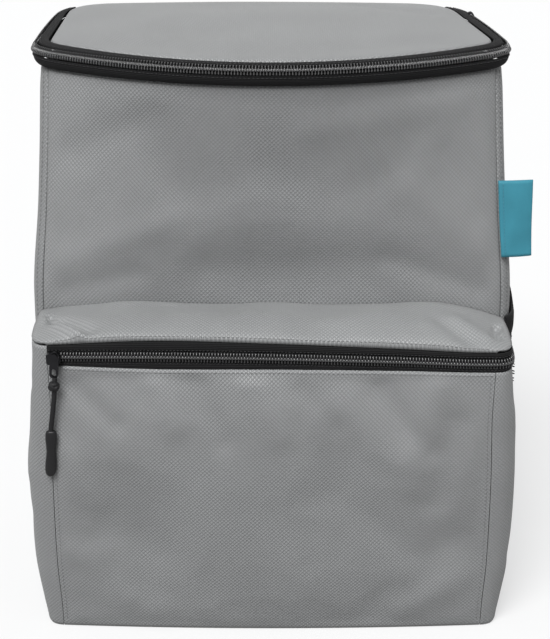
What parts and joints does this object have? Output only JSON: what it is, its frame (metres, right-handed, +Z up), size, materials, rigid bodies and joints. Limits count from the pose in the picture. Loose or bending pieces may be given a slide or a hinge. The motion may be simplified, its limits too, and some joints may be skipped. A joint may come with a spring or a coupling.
{
  "type": "cooler_backpack",
  "caption": "Grey cooler backpack with a zipped lid, a zipped front pocket, a side net pocket and padded straps",
  "frame": {"origin": "centre of the main base's flat underside, the pocket's foot not counted", "axes": "+Z up, +X to the right of a person who faces the front pocket, +Y from the pocket to the back"},
  "size_m": [0.3148, 0.2437, 0.3625],
  "materials": {
    "grey_cloth": "satin",
    "black_tape": "matte",
    "zip_coil": "satin",
    "dark_metal": "satin",
    "black_cord": "matte",
    "moulded_grip": "satin",
    "label_cloth": "satin",
    "black_net": "matte",
    "black_plastic": "satin"
  },
  "bodies": {
    "root": {"front_panel": "grey_cloth", "left_side_panel": "grey_cloth", "right_side_panel": "grey_cloth", "back_panel": "grey_cloth", "base_panel": "grey_cloth", "lid_panel": "grey_cloth", "pocket_left_gusset": "grey_cloth", "pocket_front_panel": "grey_cloth", "pocket_right_gusset": "grey_cloth", "pocket_top_panel": "grey_cloth", "pocket_base": "grey_cloth", "shoulder_strap_left": "grey_cloth", "shoulder_strap_right": "grey_cloth", "top_zip_tape_lower": "black_tape", "top_zip_tape_upper": "black_tape", "pocket_zip_tape_lower": "black_tape", "pocket_zip_tape_upper": "black_tape", "mesh_pocket_binding": "black_tape", "strap_webbing_left": "black_tape", "strap_webbing_right": "black_tape", "grab_handle": "black_tape", "top_zip_coil": "zip_coil", "pocket_zip_coil": "zip_coil", "top_zip_slider": "dark_metal", "pocket_zip_slider": "dark_metal", "pocket_zip_puller": "dark_metal", "pull_knot": "black_cord", "pull_cord": "black_cord", "pull_grip": "moulded_grip", "side_label": "label_cloth", "mesh_pocket_net": "black_net", "strap_buckle_left": "black_plastic", "strap_buckle_right": "black_plastic"}
  },
  "joints": []
}
